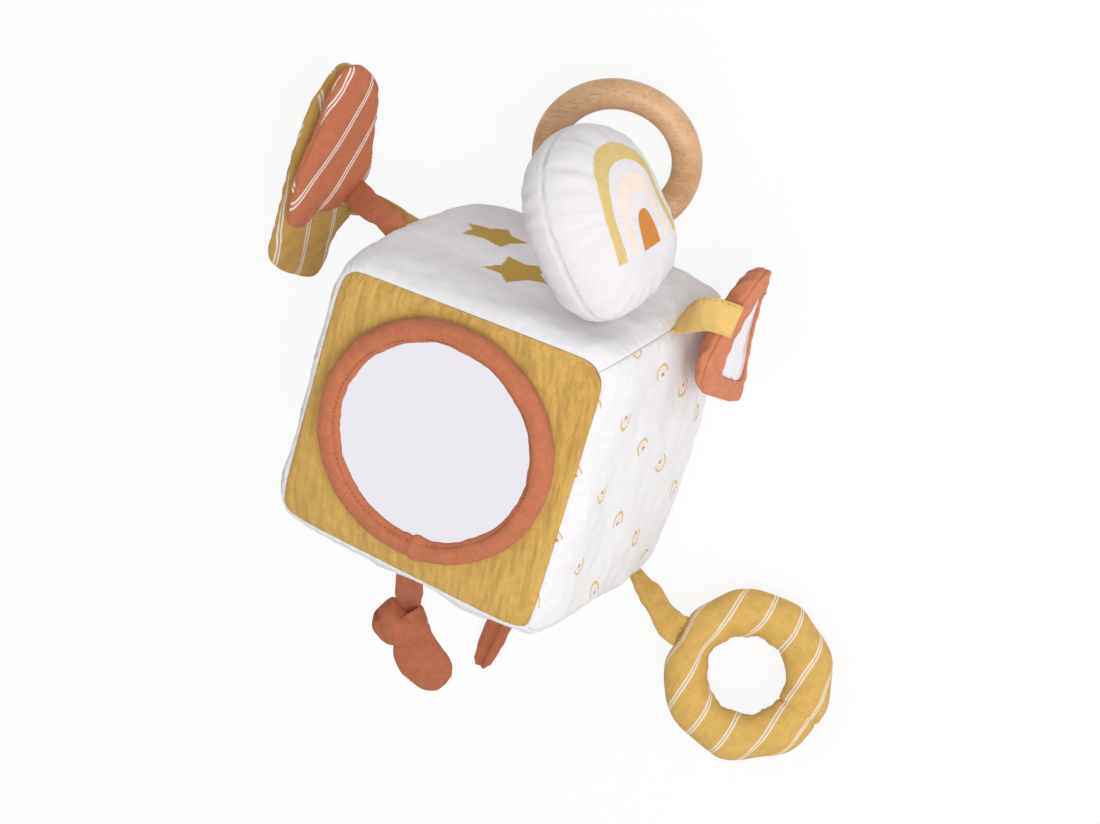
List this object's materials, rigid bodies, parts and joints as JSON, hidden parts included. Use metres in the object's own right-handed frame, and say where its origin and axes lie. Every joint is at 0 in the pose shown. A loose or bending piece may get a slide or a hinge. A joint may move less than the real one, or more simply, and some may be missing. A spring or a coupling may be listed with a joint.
{
  "type": "soft fabric activity block",
  "caption": "Crowned cloth baby block with a round mirror on its front and soft leaves, pads, rings and tabs hanging from its seams.",
  "frame": {"origin": "middle of the flat back, on the surface the block lies on", "axes": "+X to the block's right side, +Y to its top side, +Z out of the mirror"},
  "size_m": [0.2741, 0.2726, 0.1358],
  "materials": {
    "white_muslin": "soft crinkled cotton muslin",
    "ochre_cloth": "soft cotton, matte",
    "clay_cloth": "soft cotton, matte",
    "beech": "sanded and oiled",
    "mirror": "polished acrylic",
    "window_film": "glossy",
    "crackling_film": "glossy",
    "wadding": "loose polyester fibre",
    "foam": "soft open foam",
    "rattle_plastic": "matte",
    "rattle_beads": "matte"
  },
  "bodies": {
    "block": {"back_panel": "white_muslin", "bottom_panel": "white_muslin", "foam_core": "foam", "front_panel": "ochre_cloth", "left_panel": "white_muslin", "mirror_disc": "mirror", "mirror_tube_cover": "clay_cloth", "mirror_tube_filling": "wadding", "right_panel": "white_muslin", "top_panel": "white_muslin"},
    "rainbow_pad": {"rainbow_pad_back_cloth": "white_muslin", "rainbow_pad_back_filling": "wadding", "rainbow_pad_front_cloth": "white_muslin", "rainbow_pad_front_filling": "wadding", "rainbow_pad_tab": "white_muslin", "rattle_bead_1": "rattle_beads", "rattle_bead_2": "rattle_beads", "rattle_bead_3": "rattle_beads", "rattle_capsule_back": "rattle_plastic", "rattle_capsule_front": "rattle_plastic"},
    "clay_leaf": {"clay_leaf_back_cloth": "clay_cloth", "clay_leaf_film": "crackling_film", "clay_leaf_front_cloth": "clay_cloth", "clay_leaf_strap": "clay_cloth", "clay_leaf_wadding": "wadding"},
    "ochre_leaf": {"ochre_leaf_back_cloth": "ochre_cloth", "ochre_leaf_film": "crackling_film", "ochre_leaf_front_cloth": "ochre_cloth", "ochre_leaf_strap": "ochre_cloth", "ochre_leaf_wadding": "wadding"},
    "framed_pad": {"framed_pad_back_cloth": "clay_cloth", "framed_pad_border": "clay_cloth", "framed_pad_filling": "wadding", "framed_pad_ribbon": "ochre_cloth", "framed_pad_window": "window_film"},
    "wood_loop": {"wood_loop": "white_muslin"},
    "wooden_ring": {"wooden_ring": "beech"},
    "soft_ring": {"soft_ring_filling": "wadding", "soft_ring_lower_cloth": "ochre_cloth", "soft_ring_strap": "ochre_cloth", "soft_ring_upper_cloth": "ochre_cloth"},
    "knotted_tail": {"knotted_tail": "clay_cloth"},
    "tail_tag": {"tail_tag": "clay_cloth"}
  },
  "joints": [
    {"name": "rainbow_pad_swing", "type": "hinge", "parent": "block", "child": "rainbow_pad", "pos_m": [0.04778, 0.06539, 0.09012], "axis": [0, 0, 1], "range_deg": [-45, 15]},
    {"name": "clay_leaf_swing", "type": "hinge", "parent": "block", "child": "clay_leaf", "pos_m": [-0.06049, 0.05752, 0.08175], "axis": [0, 0, 1], "range_deg": [-40, 3]},
    {"name": "ochre_leaf_swing", "type": "hinge", "parent": "block", "child": "ochre_leaf", "pos_m": [-0.06052, 0.05825, 0.063], "axis": [0, 0, 1], "range_deg": [-3, 28]},
    {"name": "framed_pad_swing", "type": "hinge", "parent": "block", "child": "framed_pad", "pos_m": [0.06031, 0.06264, 0.06119], "axis": [0, 0, 1], "range_deg": [-12, 25]},
    {"name": "wood_loop_lift", "type": "hinge", "parent": "block", "child": "wood_loop", "pos_m": [-0.00363, 0.06259, 0.00314], "axis": [1, 0, 0], "range_deg": [0, 6]},
    {"name": "wooden_ring_turn", "type": "hinge", "parent": "wood_loop", "child": "wooden_ring", "pos_m": [-0.00003, 0.10264, 0.01679], "axis": [0.3048, -0.1839, 0.9345], "continuous": true},
    {"name": "soft_ring_swing", "type": "hinge", "parent": "block", "child": "soft_ring", "pos_m": [0.05996, -0.06409, 0.01144], "axis": [0, 0, 1], "range_deg": [-40, 50]},
    {"name": "knotted_tail_swing", "type": "hinge", "parent": "block", "child": "knotted_tail", "pos_m": [0.00425, -0.05862, 0.12373], "axis": [1, 0, 0], "range_deg": [-60, 22]},
    {"name": "tail_tag_lift", "type": "hinge", "parent": "block", "child": "tail_tag", "pos_m": [0.01161, -0.0638, 0.00313], "axis": [1, 0, 0], "range_deg": [-58, 0]}
  ]
}
